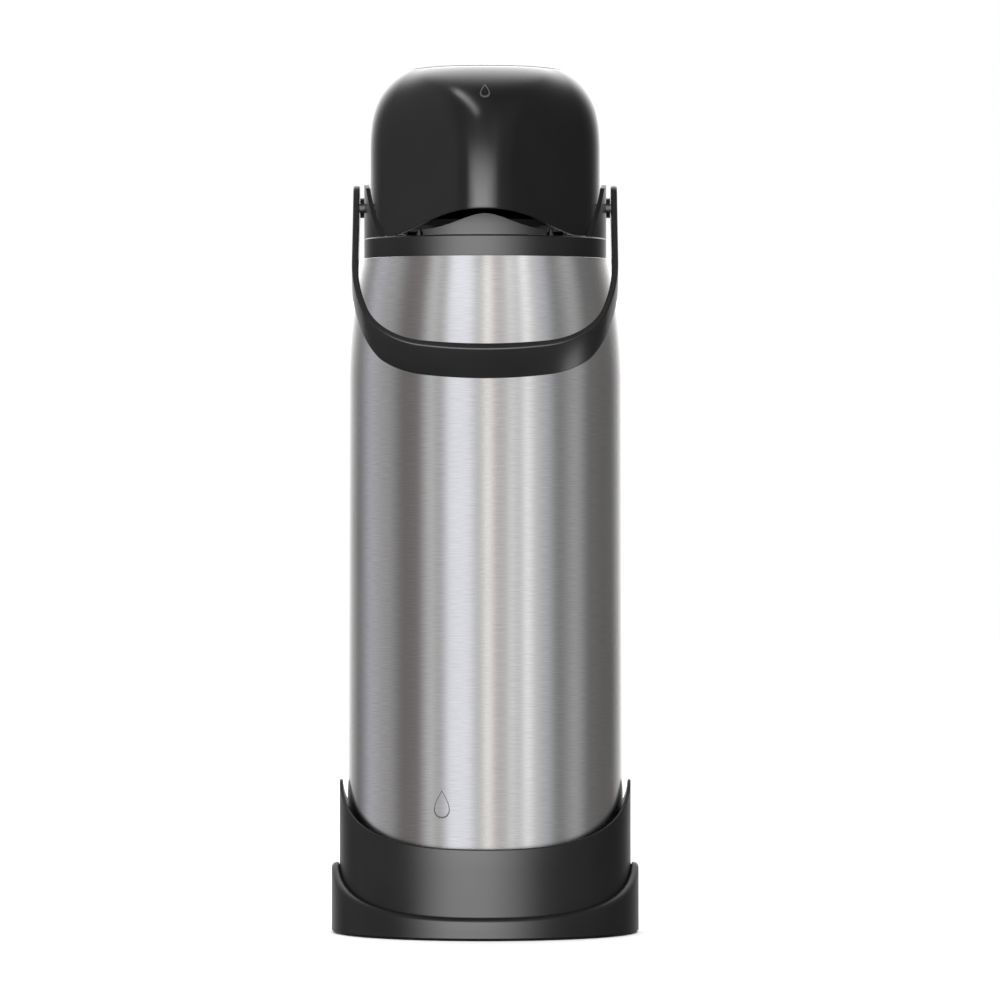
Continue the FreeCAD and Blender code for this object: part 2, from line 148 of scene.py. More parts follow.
def stitch(bm, rings, closed_loop=True):
    """Quads between rows of points; each row is a closed ring, and the last row may join the first."""
    rows = [[bm.verts.new(p) for p in ring] for ring in rings]
    pairs = list(zip(rows, rows[1:]))
    if closed_loop:
        pairs.append((rows[-1], rows[0]))
    for low, high in pairs:
        count = len(low)
        for i in range(count):
            j = (i + 1) % count
            bm.faces.new((low[i], low[j], high[j], high[i]))
    return rows


def arc_points(centre, radius, start, end, steps):
    """Points on an arc between two angles in degrees."""
    points = []
    for i in range(steps + 1):
        turn = math.radians(start + (end - start) * i / steps)
        points.append((centre[0] + radius * math.cos(turn), centre[1] + radius * math.sin(turn)))
    return points


def circle_through(a, b, c):
    """Centre and radius of the circle through three points."""
    d = 2 * (a[0] * (b[1] - c[1]) + b[0] * (c[1] - a[1]) + c[0] * (a[1] - b[1]))
    sa, sb, sc = (p[0] ** 2 + p[1] ** 2 for p in (a, b, c))
    x = (sa * (b[1] - c[1]) + sb * (c[1] - a[1]) + sc * (a[1] - b[1])) / d
    y = (sa * (c[0] - b[0]) + sb * (a[0] - c[0]) + sc * (b[0] - a[0])) / d
    return (x, y), math.hypot(a[0] - x, a[1] - y)


def arc_from(a, b, c, steps):
    """Points on the arc from a to c through b."""
    centre, radius = circle_through(a, b, c)
    start = math.atan2(a[1] - centre[1], a[0] - centre[0])
    end = math.atan2(c[1] - centre[1], c[0] - centre[0])
    sweep = math.remainder(end - start, 2 * math.pi)
    points = []
    for i in range(steps + 1):
        turn = start + sweep * i / steps
        points.append((centre[0] + radius * math.cos(turn), centre[1] + radius * math.sin(turn)))
    return points


def lathe(name, outline, segments=256, crease=35.0):
    """A closed (radius, height) outline turned about the bottle's axis."""
    bm = bmesh.new()
    rings = []
    for r, z in outline:
        ring = []
        for i in range(segments):
            turn = 2 * math.pi * i / segments
            ring.append((r * math.cos(turn), r * math.sin(turn), z))
        rings.append(ring)
    stitch(bm, rings)
    return finish_mesh(bm, name, crease)


def adopt(piece, body, slot, material, *nodes):
    """Ride the piece on its body, in place of its CAD nodes."""
    piece.data.materials.append(material)
    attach(piece, body)
    if nodes:
        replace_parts(piece, *nodes)
    return piece


# Materials

def new_material(name):
    """A node material with its principled shader."""
    material = bpy.data.materials.new(name)
    material.use_nodes = True
    nodes = material.node_tree.nodes
    return material, nodes, material.node_tree.links, nodes["Principled BSDF"]


def noise(nodes, links, scale, detail, stretch=(1.0, 1.0, 1.0), vector=None):
    """A noise texture in the object's own coordinates, stretched along its axes."""
    mapping = nodes.new("ShaderNodeMapping")
    mapping.inputs["Scale"].default_value = stretch
    if vector is None:
        vector = nodes.new("ShaderNodeTexCoord").outputs["Object"]
    links.new(vector, mapping.inputs["Vector"])
    texture = nodes.new("ShaderNodeTexNoise")
    texture.inputs["Scale"].default_value = scale
    texture.inputs["Detail"].default_value = detail
    links.new(mapping.outputs["Vector"], texture.inputs["Vector"])
    return texture.outputs["Fac"]


def spread(nodes, links, value, low, high):
    """Map a noise value onto a range."""
    node = nodes.new("ShaderNodeMapRange")
    node.inputs["From Min"].default_value = 0.3
    node.inputs["From Max"].default_value = 0.7
    node.inputs["To Min"].default_value = low
    node.inputs["To Max"].default_value = high
    links.new(value, node.inputs["Value"])
    return node.outputs["Result"]


def two_tone(nodes, links, value, dark, light):
    """Mix two colours by a noise value."""
    ramp = nodes.new("ShaderNodeValToRGB")
    ramp.color_ramp.elements[0].position = 0.3
    ramp.color_ramp.elements[0].color = (*dark, 1)
    ramp.color_ramp.elements[1].position = 0.7
    ramp.color_ramp.elements[1].color = (*light, 1)
    links.new(value, ramp.inputs["Fac"])
    return ramp.outputs["Color"]


def bump(nodes, links, value, distance, strength, shader, under=None):
    """A bump of this height in metres, on top of another one if given."""
    node = nodes.new("ShaderNodeBump")
    node.inputs["Distance"].default_value = distance
    node.inputs["Strength"].default_value = strength
    links.new(value, node.inputs["Height"])
    if under is not None:
        links.new(under, node.inputs["Normal"])
    links.new(node.outputs["Normal"], shader.inputs["Normal"])
    return node.outputs["Normal"]


def around_axis(nodes, links):
    """Coordinates that run round the bottle's axis: (arc in metres at the body's radius, radius, height)."""
    where = nodes.new("ShaderNodeTexCoord").outputs["Object"]
    split = nodes.new("ShaderNodeSeparateXYZ")
    links.new(where, split.inputs["Vector"])
    turn = nodes.new("ShaderNodeMath")
    turn.operation = "ARCTAN2"
    links.new(split.outputs["X"], turn.inputs[0])
    links.new(split.outputs["Y"], turn.inputs[1])
    run = nodes.new("ShaderNodeMath")
    run.operation = "MULTIPLY"
    run.inputs[1].default_value = BODY_R * MM
    links.new(turn.outputs["Value"], run.inputs[0])
    join = nodes.new("ShaderNodeCombineXYZ")
    links.new(run.outputs["Value"], join.inputs["X"])
    links.new(split.outputs["Z"], join.inputs["Z"])
    return join.outputs["Vector"]


def brushed_steel():
    """Horizontally brushed stainless sheet, with reflections drawn out up and down."""
    material, nodes, links, shader = new_material("brushed_steel")
    wrap = around_axis(nodes, links)
    hairs = noise(nodes, links, 60.0, 6.0, (2.4, 1.0, 55.0), wrap)
    fine = noise(nodes, links, 160.0, 4.0, (0.6, 1.0, 40.0), wrap)
    clouds = noise(nodes, links, 14.0, 3.0)
    colour = two_tone(nodes, links, hairs, (0.82, 0.81, 0.81), (0.97, 0.965, 0.965))
    links.new(colour, shader.inputs["Base Color"])
    links.new(spread(nodes, links, clouds, 0.22, 0.28), shader.inputs["Roughness"])
    shader.inputs["Metallic"].default_value = 1.0
    shader.inputs["Anisotropic"].default_value = 0.93
    shader.inputs["Anisotropic Rotation"].default_value = 0.25
    tangent = nodes.new("ShaderNodeTangent")
    tangent.direction_type = "RADIAL"
    tangent.axis = "Z"
    links.new(tangent.outputs["Tangent"], shader.inputs["Tangent"])
    under = bump(nodes, links, hairs, 0.00003, 0.5, shader)
    bump(nodes, links, fine, 0.00001, 0.3, shader, under)
    return material


def black_plastic(name, rough_low, rough_high, grain, tone):
    """Moulded black plastic: a moulded-in grain, faint wear and uneven gloss."""
    material, nodes, links, shader = new_material(name)
    patches = noise(nodes, links, 22.0, 5.0)
    pits = noise(nodes, links, 2600.0, 3.0)
    wave = noise(nodes, links, 35.0, 2.0)
    colour = two_tone(nodes, links, patches, (tone * 0.85,) * 3, (tone * 1.15,) * 3)
    links.new(colour, shader.inputs["Base Color"])
    links.new(spread(nodes, links, patches, rough_low, rough_high), shader.inputs["Roughness"])
    shader.inputs["IOR"].default_value = PLASTIC_IOR
    under = bump(nodes, links, wave, 0.0001, 0.05, shader)
    bump(nodes, links, pits, 0.00002, grain, shader, under)
    return material


def plain_steel():
    """Turned and drawn steel of pins, screws and springs."""
    material, nodes, links, shader = new_material("plain_steel")
    rings = noise(nodes, links, 700.0, 3.0, (1.0, 1.0, 6.0))
    colour = two_tone(nodes, links, rings, (0.42, 0.42, 0.43), (0.60, 0.60, 0.61))
    links.new(colour, shader.inputs["Base Color"])
    links.new(spread(nodes, links, rings, 0.22, 0.36), shader.inputs["Roughness"])
    shader.inputs["Metallic"].default_value = 1.0
    bump(nodes, links, rings, 0.00002, 0.3, shader)
    return material


def moulded(name, dark, light, rough_low, rough_high, grain_scale, grain):
    """Plain moulded plastic or rubber with a fine skin."""
    material, nodes, links, shader = new_material(name)
    patches = noise(nodes, links, 30.0, 4.0)
    skin = noise(nodes, links, grain_scale, 4.0)
    links.new(two_tone(nodes, links, patches, dark, light), shader.inputs["Base Color"])
    links.new(spread(nodes, links, skin, rough_low, rough_high), shader.inputs["Roughness"])
    bump(nodes, links, skin, 0.00004, grain, shader)
    return material


def silvered_glass():
    """Glass silvered on the inside of the vacuum, with slight ripples."""
    material, nodes, links, shader = new_material("silvered_glass")
    ripple = noise(nodes, links, 18.0, 2.0)
    colour = two_tone(nodes, links, ripple, (0.74, 0.75, 0.77), (0.86, 0.87, 0.88))
    links.new(colour, shader.inputs["Base Color"])
    links.new(spread(nodes, links, ripple, 0.04, 0.09), shader.inputs["Roughness"])
    shader.inputs["Metallic"].default_value = 0.9
    shader.inputs["Coat Weight"].default_value = 1.0
    bump(nodes, links, ripple, 0.0004, 0.15, shader)
    return material


MATERIALS = {
    "steel_body": brushed_steel(),
    "plain_steel": plain_steel(),
    "black_gloss": black_plastic("black_gloss", 0.20, 0.25, 0.03, 0.0025),
    "black_satin": black_plastic("black_satin", 0.30, 0.36, 0.08, 0.004),
    "base_satin": black_plastic("base_satin", 0.30, 0.36, 0.10, 0.004),
    # A near-black, rough material laid on the head's inner pieces as painted shade; it is not their own
    # colour
    "painted_shade_black": moulded("painted_shade_black", (0.004,) * 3, (0.007,) * 3, 0.6, 0.7, 900.0, 0.15),
    "mark_grey": moulded("mark_grey", (0.045,) * 3, (0.06,) * 3, 0.4, 0.5, 900.0, 0.1),
    "inner_plastic": moulded("inner_plastic", (0.50, 0.49, 0.46), (0.60, 0.59, 0.56), 0.38, 0.5, 900.0, 0.15),
    "black_rubber": moulded("black_rubber", (0.018,) * 3, (0.03,) * 3, 0.6, 0.75, 1500.0, 0.4),
    "pale_rubber": moulded("pale_rubber", (0.52, 0.49, 0.44), (0.63, 0.60, 0.55), 0.5, 0.62, 1200.0, 0.3),
    "silvered_glass": silvered_glass(),
}


# Base

def rim_height(turn, front, side, power):
    """Height of a rim that dips at front and back and peaks at the sides; turn is 0 at the front."""
    from_side = 1 - math.asin(min(1.0, abs(math.sin(turn)))) / (math.pi / 2)
    share = 1 + PEAK_SOFT / 2 - math.hypot(from_side, PEAK_SOFT)
    return front + (side - front) * max(0.0, share) ** power


def saddle_lathe(name, outline_at, segments=360):
    """A ring whose outline changes with the angle from the front."""
    bm = bmesh.new()
    sections = []
    for i in range(segments):
        turn = 2 * math.pi * i / segments
        sections.append([
            (r * math.sin(turn), -r * math.cos(turn), z) for r, z in outline_at(turn)])
    rings = [[section[k] for section in sections] for k in range(len(sections[0]))]
    stitch(bm, rings)
    return finish_mesh(bm, name, 40.0)


def cup_outline(turn):
    """Section of the base cup at one angle."""
    top = rim_height(turn, CUP_FRONT, CUP_SIDE, CUP_CURVE)
    inner = BODY_R + 2.0
    edge = 0.65
    seat = BODY_R + 0.1
    floor = CUP_BOTTOM + 2.0
    points = [(20.0, CUP_BOTTOM), (CUP_R - 0.6, CUP_BOTTOM), (CUP_R, CUP_BOTTOM + 0.6)]
    for share in (0.25, 0.5, 0.75):
        points.append((CUP_R, CUP_BOTTOM + (top - CUP_BOTTOM) * share))
    points += arc_points((CUP_R - edge, top - edge), edge, 0, 90, 5)
    points += arc_points((inner + edge, top - edge), edge, 90, 180, 5)
    points += [(inner, 24.0), (seat, 22.0), (seat, floor), (20.0, floor)]
    return points


def skirt_outline(turn):
    """Section of the skirt at one angle, with a soft shoulder against the cup."""
    top = rim_height(turn, SKIRT_FRONT, SKIRT_SIDE, SKIRT_CURVE)
    inner = CUP_R + 0.02
    soft = 2.3
    steps = 8
    points = [(inner, SKIRT_BOTTOM), (SKIRT_R - 0.8, SKIRT_BOTTOM), (SKIRT_R, SKIRT_BOTTOM + 0.8)]
    points.append((SKIRT_R, (SKIRT_BOTTOM + top - soft) / 2))
    for i in range(steps + 1):
        bend = math.pi / 2 * i / steps
        points.append((SKIRT_R - 2.6 + 2.6 * math.cos(bend), top - soft + soft * math.sin(bend)))
    points += [(inner + 0.45, top - 0.15), (inner + 0.2, top - 0.9), (inner, top - 1.2)]
    return points


def make_base():
    satin = MATERIALS["base_satin"]
    cup = saddle_lathe("base_cup_shell", cup_outline)
    adopt(cup, "bottle", "black_satin", satin)
    centre = lathe("base_cup_centre", [
        (3.05, 7.05), (18.0, 7.05), (18.0, CUP_BOTTOM), (20.0, CUP_BOTTOM),
        (20.0, 9.0), (3.05, 9.0)], 96)
    adopt(centre, "bottle", "black_satin", satin, "base_cup")
    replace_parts(cup, "base_cup")
    skirt = saddle_lathe("base_skirt_band", skirt_outline)
    adopt(skirt, "bottle", "black_satin", satin, "base_skirt")


# Steel body

def shoulder_r(z, inset):
    """Radius of the steel body over the shoulder."""
    rise = max(0.0, z - SHOULDER_Z)
    radius = SHOULDER_ARC_R - inset
    return BODY_R - inset - (radius - math.sqrt(radius ** 2 - rise ** 2))


def make_steel_body():
    roll = 0.12
    arc_end = SHELL_TOP - roll
    outline = []
    for inset, order in ((0.0, 1), (STEEL, -1)):
        side = [(BODY_R - inset, SHELL_BOTTOM + (SHOULDER_Z - SHELL_BOTTOM) * i / 12) for i in range(12)]
        for i in range(25):
            z = SHOULDER_Z + (arc_end - SHOULDER_Z) * i / 24
            side.append((shoulder_r(z, inset), z))
        corner = max(0.06, roll - inset)
        top_r = shoulder_r(arc_end, inset)
        side += arc_points((top_r - corner, arc_end), corner, 10, 90, 7)
        side.append((LIP_R, arc_end + corner))
        outline += side[::order]
    body = lathe("steel_body_shell", outline, 288, 8.0)
    adopt(body, "bottle", "steel_body", MATERIALS["steel_body"], "outer_shell")


# Handle

def handle_rail(arm, knee, waist, corner, shoulder, grip):
    """Half of the strap's edge line, from the eye's end to the middle of the grip."""
    points = [(arm, -EYE_R * math.cos(math.pi / 2 * i / 10)) for i in range(10)]
    points += [(arm, ARM_END * i / 14) for i in range(14)]
    points += arc_from((arm, ARM_END), knee, waist, 12)
    points += arc_from(waist, corner, shoulder, 24)[1:]
    left = (-shoulder[0], shoulder[1])
    points += arc_from(shoulder, (0, grip), left, 32)[1:17]
    return points


def strap_edges(x, u):
    """How far the strap reaches to its front edge and to its back edge, at one place along it."""
    if u < 0:
        reach = math.sqrt(max(0.04, EYE_R ** 2 - u ** 2))
        return reach, reach
    eye = (1 - min(1.0, u / 16.0)) ** 2
    front = HANDLE_WIDTH / 2 + (EYE_R - HANDLE_WIDTH / 2) * eye
    tuck = min(1.0, max(0.0, (abs(x) - TUCK_START) / TUCK_RUN))
    tuck = tuck * tuck * (3 - 2 * tuck) * (1 - eye)
    return front, front * (1 - STRAP_TUCK * tuck)


def make_handle():
    """The strap as one swept, softly rounded band with round eyes at its ends."""
    outer = handle_rail(ARM_OUT, (56.7, 59.1), (53.2, 74.0), (43.9, 88.5), (28.6, 96.4), GRIP_OUT)
    inner = handle_rail(ARM_IN, (54.0, 58.7), (50.6, 73.2), (41.9, 86.2), (28.0, 92.9), GRIP_IN)
    outer += [(-x, u) for x, u in outer[-2::-1]]
    inner += [(-x, u) for x, u in inner[-2::-1]]
    corner_steps = 4
    bm = bmesh.new()
    sections = []
    for (xo, uo), (xi, ui) in zip(outer, inner):
        front, back = strap_edges(xo, uo)
        half = (front + back) / 2
        shift = (front - back) / 2
        middle = ((xo + xi) / 2, (uo + ui) / 2)
        across = ((xo - xi) / 2, (uo - ui) / 2)
        thick = math.hypot(*across)
        round_r = min(EDGE_R, half * 0.9)
        ring = []
        for quadrant, (sa, sb) in enumerate(((1, 1), (-1, 1), (-1, -1), (1, -1))):
            for k in range(corner_steps + 1):
                bend = math.pi / 2 * (quadrant + k / corner_steps)
                a = sa * (thick - round_r) + round_r * math.cos(bend)
                b = shift + sb * (half - round_r) + round_r * math.sin(bend)
                x = middle[0] + across[0] / thick * a
                u = middle[1] + across[1] / thick * a
                ring.append(lean(x, u, b))
        sections.append(ring)
    rows = stitch(bm, sections, closed_loop=False)
    bm.faces.new(rows[0][::-1])
    bm.faces.new(rows[-1])
    strap = finish_mesh(bm, "handle_strap", 40.0)
    bore_pins(strap)
    hidden_from_steel.append(strap)
    adopt(strap, "handle", "black_satin", MATERIALS["black_satin"], "handle_bail")


def lean(x, u, b):
    """A point of the strap's plane, put in place: u runs from pivot to grip, b across the width."""
    y = -u * math.sin(LEAN) - b * math.cos(LEAN)
    z = PIVOT_Z - u * math.cos(LEAN) + b * math.sin(LEAN)
    return (x, y, z)


def bore_pins(strap):
    """Cut the pin's hole through both eyes."""
    bm = bmesh.new()
    rings = []
    for x in (-70.0, 70.0):
        rings.append([
            (x, PIN_BORE * math.cos(math.pi * i / 24), PIVOT_Z + PIN_BORE * math.sin(math.pi * i / 24))
            for i in range(48)])
    rows = stitch(bm, rings, closed_loop=False)
    bm.faces.new(rows[0])
    bm.faces.new(rows[1][::-1])
    tool = finish_mesh(bm, "pin_bore_tool")
    cut = strap.modifiers.new("bore", "BOOLEAN")
    cut.operation = "DIFFERENCE"
    cut.solver = "EXACT"
    cut.object = tool
    apply_modifiers(strap)
    bpy.data.objects.remove(tool)


def apply_modifiers(piece):
    """Make the modifiers' result the piece's own mesh."""
    graph = bpy.context.evaluated_depsgraph_get()
    mesh = bpy.data.meshes.new_from_object(piece.evaluated_get(graph))
    piece.modifiers.clear()
    piece.data = mesh
    mesh.set_sharp_from_angle(angle=math.radians(40.0))


# Head

def head_measures(z, inset):
    """Back radius, nose radius and nose centre of the head's plan at one height."""
    roof = max(0.0, z - ROOF_START) / ROOF_HEIGHT
    r = HEAD_R * (1 - roof ** ROOF_POWER) ** (1 / ROOF_POWER)
    climb = max(0.0, (z - HEAD_BOTTOM) / (HEAD_TOP - HEAD_BOTTOM))
    reach = 2.0 + (NOSE_REACH - 2.0) * (1 - climb ** 2.4) ** (1 / 1.6)
    nose_r = NOSE_R + (r - 4.0 - NOSE_R) * climb ** NOSE_SPREAD
    nose_y = -(r + reach) + nose_r
    return r - inset, nose_r - inset, nose_y


def head_ring(z_at, inset, back_steps=96, side_steps=28, nose_steps=56):
    """One closed ring of the head; z_at gives the height for each (x, y) of the lowest plan."""
    ring = []
    count = back_steps + nose_steps + 2 * side_steps
    for i in range(count):
        z = z_at(*plan_point(i, HEAD_BOTTOM, inset, back_steps, side_steps, nose_steps))
        x, y = plan_point(i, z, inset, back_steps, side_steps, nose_steps)
        ring.append((x, y, z))
    return ring


def plan_point(i, z, inset, back_steps, side_steps, nose_steps):
    """The i-th point of the head's plan at one height: back arc, left side, nose arc, right side."""
    r, nose_r, nose_y = head_measures(z, inset)
    tilt = math.asin((r - nose_r) / -nose_y)
    back_span = math.pi + 2 * tilt
    nose_span = math.pi - 2 * tilt
    if i < back_steps:
        turn = -tilt + back_span * i / back_steps
        return r * math.cos(turn), r * math.sin(turn)
    i -= back_steps
    start = (-r * math.cos(tilt), -r * math.sin(tilt))
    end = (-nose_r * math.cos(tilt), nose_y - nose_r * math.sin(tilt))
    if i < side_steps:
        share = i / side_steps
        return start[0] + (end[0] - start[0]) * share, start[1] + (end[1] - start[1]) * share
    i -= side_steps
    if i < nose_steps:
        turn = math.pi + tilt + nose_span * i / nose_steps
        return nose_r * math.cos(turn), nose_y + nose_r * math.sin(turn)
    share = (i - nose_steps) / side_steps
    return -(end[0] + (start[0] - end[0]) * share), end[1] + (start[1] - end[1]) * share


def arch_height(x, y):
    """How far the head's lower edge rises over the opening under the nose."""
    if y > -5 or abs(x) >= ARCH_HALF:
        return 0.0
    return ARCH_RISE * (1 - (abs(x) / ARCH_HALF) ** 2.4) ** 1.7


def make_head_cover():
    """The head's shell, from its lower edge up over the roof and down inside again."""
    rows = 44
    top_edge = 0.9
    roof = HEAD_TOP - top_edge
    rings = []

    def wall_ring(share, lift, inset, top):
        def z_at(x, y):
            low = HEAD_BOTTOM + arch_height(x, y) + lift
            return low + (top - low) * share
        return head_ring(z_at, inset)

    edge = 0.5
    rings.append(wall_ring(0, 0.0, edge, roof))
    rings.append(wall_ring(0, edge * 0.3, edge * 0.3, roof))
    for i in range(rows + 1):
        share = math.sin(math.pi / 2 * i / rows)
        rings.append(wall_ring(share, edge, 0.0, roof))
    for k in range(1, 5):
        bend = math.pi / 2 * k / 4
        inset = top_edge * (1 - math.cos(bend))
        rings.append(wall_ring(1, 0, inset, roof + top_edge * math.sin(bend) - 0.001))
    outer_top = rings[-1]
    rings.append([well_point(p, WELL_R + 0.15, HEAD_TOP) for p in outer_top])
    rings.append([well_point(p, WELL_R, HEAD_TOP - 0.15) for p in outer_top])
    rings.append([well_point(p, WELL_R, HEAD_TOP - 2.4) for p in outer_top])
    for i in range(rows // 2, -1, -1):
        share = math.sin(math.pi / 2 * i / (rows // 2)) * 0.985
        rings.append(wall_ring(share, edge, WALL, roof - 2.0))
    rings.append(wall_ring(0, 0.0, WALL - edge, roof))
    bm = bmesh.new()
    stitch(bm, rings)
    cover = finish_mesh(bm, "head_cover_shell", 40.0)
    adopt(cover, "head", "black_gloss", MATERIALS["black_gloss"], "head_cover")
    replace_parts(make_hinge_tab(), "head_cover")


def well_point(p, r, z):
    """The point of the button's well in line with a point of the roof."""
    turn = math.atan2(p[1], p[0])
    return (r * math.cos(turn), r * math.sin(turn), z)


def make_hinge_tab():
    """The tab and knuckle at the back of the head."""
    half = 7.7
    steps = 40
    tip = arc_points((HINGE_Y, HINGE_Z), KNUCKLE_R, 90, -180, steps)
    join_z = HEAD_BOTTOM
    outline = tip + [(HINGE_Y - KNUCKLE_R, join_z), (48.4, join_z), (48.4, HINGE_Z + KNUCKLE_R)]
    count = len(outline)
    bore = []
    for i in range(count):
        a = math.atan2(outline[i][1] - HINGE_Z, outline[i][0] - HINGE_Y)
        bore.append((HINGE_Y + HINGE_BORE * math.cos(a), HINGE_Z + HINGE_BORE * math.sin(a)))
    bevel = 0.4
    rings = []
    for x, shrink in ((-half, bevel), (-half + bevel, 0.0), (half - bevel, 0.0), (half, bevel)):
        ring = []
        for y, z in outline:
            toward = Vector((HINGE_Y - y, HINGE_Z - z)).normalized() * shrink
            ring.append((x, y + toward.x, z + toward.y))
        rings.append(ring)
    for x in (half, -half):
        rings.append([(x, y, z) for y, z in bore])
    bm = bmesh.new()
    stitch(bm, rings)
    tab = finish_mesh(bm, "head_hinge_tab", 30.0)
    return adopt(tab, "head", "black_gloss", MATERIALS["black_gloss"])


# Marks

def drop_mark(name, centre, width, height, stroke, lift, surface_at):
    """The outline of a drop laid on a surface; surface_at gives the point under (x, z), lifted."""
    count = 72
    rings = []
    for grow, rise in ((0.0, -0.1), (0.0, lift), (-stroke, lift), (-stroke, -0.1)):
        ring = []
        for i in range(count):
            turn = 2 * math.pi * i / count
            x = (width / 2 + grow) * math.sin(turn) * math.sin(turn / 2) ** 1.3 * 1.15
            z = (height / 2 + grow * 1.3) * math.cos(turn)
            ring.append(surface_at(centre[0] + x, centre[1] + z, rise))
        rings.append(ring)
    bm = bmesh.new()
    stitch(bm, rings)
    return finish_mesh(bm, name, 40.0)


def on_body(x, z, rise):
    """A point on the steel body, x measured round it from the front."""
    turn = x / BODY_R
    return ((BODY_R + rise) * math.sin(turn), -(BODY_R + rise) * math.cos(turn), z)


def on_nose(x, z, rise):
    """A point on the front of the head."""
    nose_r, nose_y = head_measures(z, -rise)[1:]
    return (x, nose_y - math.sqrt(nose_r ** 2 - x ** 2), z)


def make_marks():
    body = drop_mark("body_mark", (-18.9, 58.6), 8.6, 12.3, 0.55, 0.03, on_body)
    adopt(body, "bottle", "black_satin", MATERIALS["black_satin"])
    head = drop_mark("head_mark", (0.0, 366.0), 5.2, 6.4, 0.7, 0.3, on_nose)
    adopt(head, "head", "black_gloss", MATERIALS["mark_grey"])


# Carried-over nodes

# Pieces inside the head that stay in its shadow, coloured a dull black as painted shade of that shadow
SHADED_INNER_PIECES = (
    "head_base", "tube_flange", "mouth_gasket", "outlet_seal", "outlet_pipe", "air_duct", "spout_nozzle",
)


def dress_nodes():
    """Give every CAD node the material of its slot, and the head's inner pieces a dull black as painted
    shade.
    """
    for part in frame["record"]["subparts"]:
        node = frame["nodes"][part["node"]]
        node.data.materials.clear()
        # The head's inner pieces take the painted shade black instead of their slot's material
        name = "painted_shade_black" if part["node"] in SHADED_INNER_PIECES else part["material_slot"]
        node.data.materials.append(MATERIALS[name])
    for name in ("collar_ring", "handle_lug_left", "handle_lug_right", "catch_plate"):
        hidden_from_steel.append(frame["nodes"][name])


# Stage, light and camera

def make_floor():
    """A wide pale floor, left out of mirror reflections."""
    bm = bmesh.new()
    bmesh.ops.create_circle(bm, cap_ends=True, segments=96, radius=6000.0)
    floor = finish_mesh(bm, "floor")
    material, nodes, links, shader = new_material("floor_paint")
    patches = noise(nodes, links, 3.0, 2.0)
    links.new(two_tone(nodes, links, patches, (0.90,) * 3, (0.93,) * 3), shader.inputs["Base Color"])
    shader.inputs["Roughness"].default_value = 0.9
    floor.data.materials.append(material)
    floor.visible_glossy = False
    floor.visible_shadow = False


def ramp_node(nodes, stops):
    """A smooth ramp through (position, brightness, tint) stops."""
    ramp = nodes.new("ShaderNodeValToRGB")
    ramp.color_ramp.interpolation = "EASE"
    elements = ramp.color_ramp.elements
    elements.remove(elements[1])
    elements[0].position = stops[0][0]
    for i, (place, level, tint) in enumerate(stops):
        element = elements.new(place) if i else elements[0]
        element.color = (level * tint[0], level * tint[1], level * tint[2], 1)
    return ramp


NEUTRAL = (1.0, 1.0, 1.0)
COOL = (0.97, 0.985, 1.05)
WARM = (1.03, 1.0, 0.96)
ROSE = (1.06, 0.98, 0.985)
GREEN = (0.985, 1.005, 0.99)

# Tall light panels round the object: (degrees from the camera's side, brightness, tint)
PANELS = [
    (-180, 0.10, NEUTRAL), (-135, 0.12, NEUTRAL), (-111, 0.407, COOL), (-92, 0.311, NEUTRAL),
    (-72, 0.141, ROSE), (-60, 0.163, ROSE), (-46, 0.519, NEUTRAL), (-39, 0.385, NEUTRAL),
    (-28, 0.852, COOL), (-15, 0.852, COOL), (-5, 0.504, NEUTRAL), (2.5, 0.926, WARM),
    (10, 0.489, ROSE), (16, 0.489, NEUTRAL), (22, 0.726, NEUTRAL), (29, 0.548, NEUTRAL),
    (36, 0.926, NEUTRAL), (44, 0.563, NEUTRAL), (52, 0.459, COOL), (65, 0.2, GREEN),
    (82, 0.341, GREEN), (100, 0.141, NEUTRAL), (120, 0.111, WARM), (138, 0.074, WARM),
    (155, 0.08, NEUTRAL), (180, 0.10, NEUTRAL),
]

# How the panels fade up and down: (degrees of elevation, share)
FADES = [
    (-90, 0.20), (-50, 0.25), (-25, 0.75), (-10, 0.98), (8, 1.0), (24, 1.2), (42, 1.0), (60, 0.4), (75, 0.2),
    (90, 0.30),
]

# A large soft white light high behind the object: (cosine from its middle, share)
BACK_LIGHT = [
    (0.0, 0.0), (0.57, 0.0), (0.72, 0.06), (0.80, 0.19), (0.866, 0.42), (0.934, 0.72), (0.978, 0.85),
    (1.0, 0.85),
]
BACK_LEVEL = 3.6
BACK_AIM = (0.0, 0.866, 0.5)

# Nested soft boxes in front that only light the black pieces:
# (middle in degrees from the camera's side, half width in degrees, height in metres, brightness)
SOFT_BOXES = [(-8.5, 46.5, 2.3, 3.9), (-9.5, 35.0, 1.7, 5.2), (-10.5, 22.0, 1.05, 5.3)]
SOFT_BOX_DISTANCE = 2.2
SOFT_BOX_Z = 0.3
SKY_POWER = 3.4

# A strip that lights only the glossy head, and a glow that lights only the strap, for its right corner:
# (place, turns in degrees, width, height, brightness)
ROOF_STRIP = ((-0.72, -0.27, 2.2), (0, -18, 18), 0.32, 1.5, 10.0)
CORNER_GLOW = ((0.60, 0.30, -0.50), (130, 0, 120), 0.30, 0.30, 7.0)


def math_node(nodes, links, operation, a, b=None):
    """One maths step; a and b are sockets or numbers."""
    node = nodes.new("ShaderNodeMath")
    node.operation = operation
    for socket, value in zip(node.inputs, (a, b)):
        if value is None:
            continue
        if isinstance(value, (int, float)):
            socket.default_value = value
        else:
            links.new(value, socket)
    return node.outputs["Value"]


